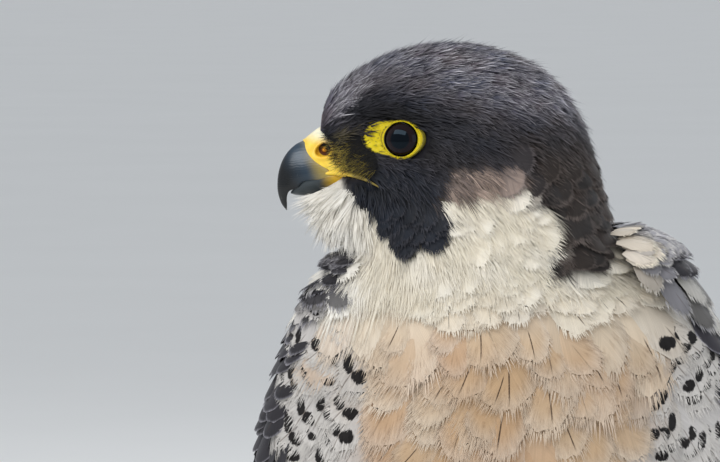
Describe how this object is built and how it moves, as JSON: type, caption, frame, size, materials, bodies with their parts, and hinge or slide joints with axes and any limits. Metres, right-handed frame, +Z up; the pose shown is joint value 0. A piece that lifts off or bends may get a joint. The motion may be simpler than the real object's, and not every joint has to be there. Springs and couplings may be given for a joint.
{
  "type": "peregrine falcon",
  "caption": "Adult peregrine falcon standing at rest with folded wings, its head turned to its right; a life-size still model.",
  "frame": {"origin": "on the floor, under the centre of the bird's bounding box", "axes": "+Z up, breast towards -Y, the bird's left side towards +X; the head is turned so that the bill points along -X"},
  "size_m": [0.1558, 0.2211, 0.3718],
  "materials": {
    "hood_feathers": "matte feather, dark slate with paler edges",
    "throat_feathers": "matte feather, creamy white",
    "breast_feathers": "matte feather, warm buff with dark shaft streaks and bars",
    "wing_feathers": "matte to satin feather, slate with pale edges",
    "tail_feathers": "satin feather, slate with darker bars",
    "bare_skin": "satin, bright yellow skin",
    "bill_horn": "satin horn, blue-grey to black at the tip",
    "claw_horn": "glossy black horn",
    "eye": "wet, very dark brown"
  },
  "bodies": {
    "root": {"head": "hood_feathers", "neck": "throat_feathers", "torso": "breast_feathers", "tail": "tail_feathers", "cere": "bare_skin", "bill_upper": "bill_horn", "bill_lower": "bill_horn", "eye_left": "eye", "lid_left": "bare_skin", "wing_left": "wing_feathers", "thigh_left": "breast_feathers", "shank_left": "bare_skin", "foot_left": "bare_skin", "eye_right": "eye", "lid_right": "bare_skin", "wing_right": "wing_feathers", "thigh_right": "breast_feathers", "shank_right": "bare_skin", "foot_right": "bare_skin", "claw_inner_left": "claw_horn", "claw_middle_left": "claw_horn", "claw_outer_left": "claw_horn", "claw_hind_left": "claw_horn", "claw_inner_right": "claw_horn", "claw_middle_right": "claw_horn", "claw_outer_right": "claw_horn", "claw_hind_right": "claw_horn"}
  },
  "joints": []
}
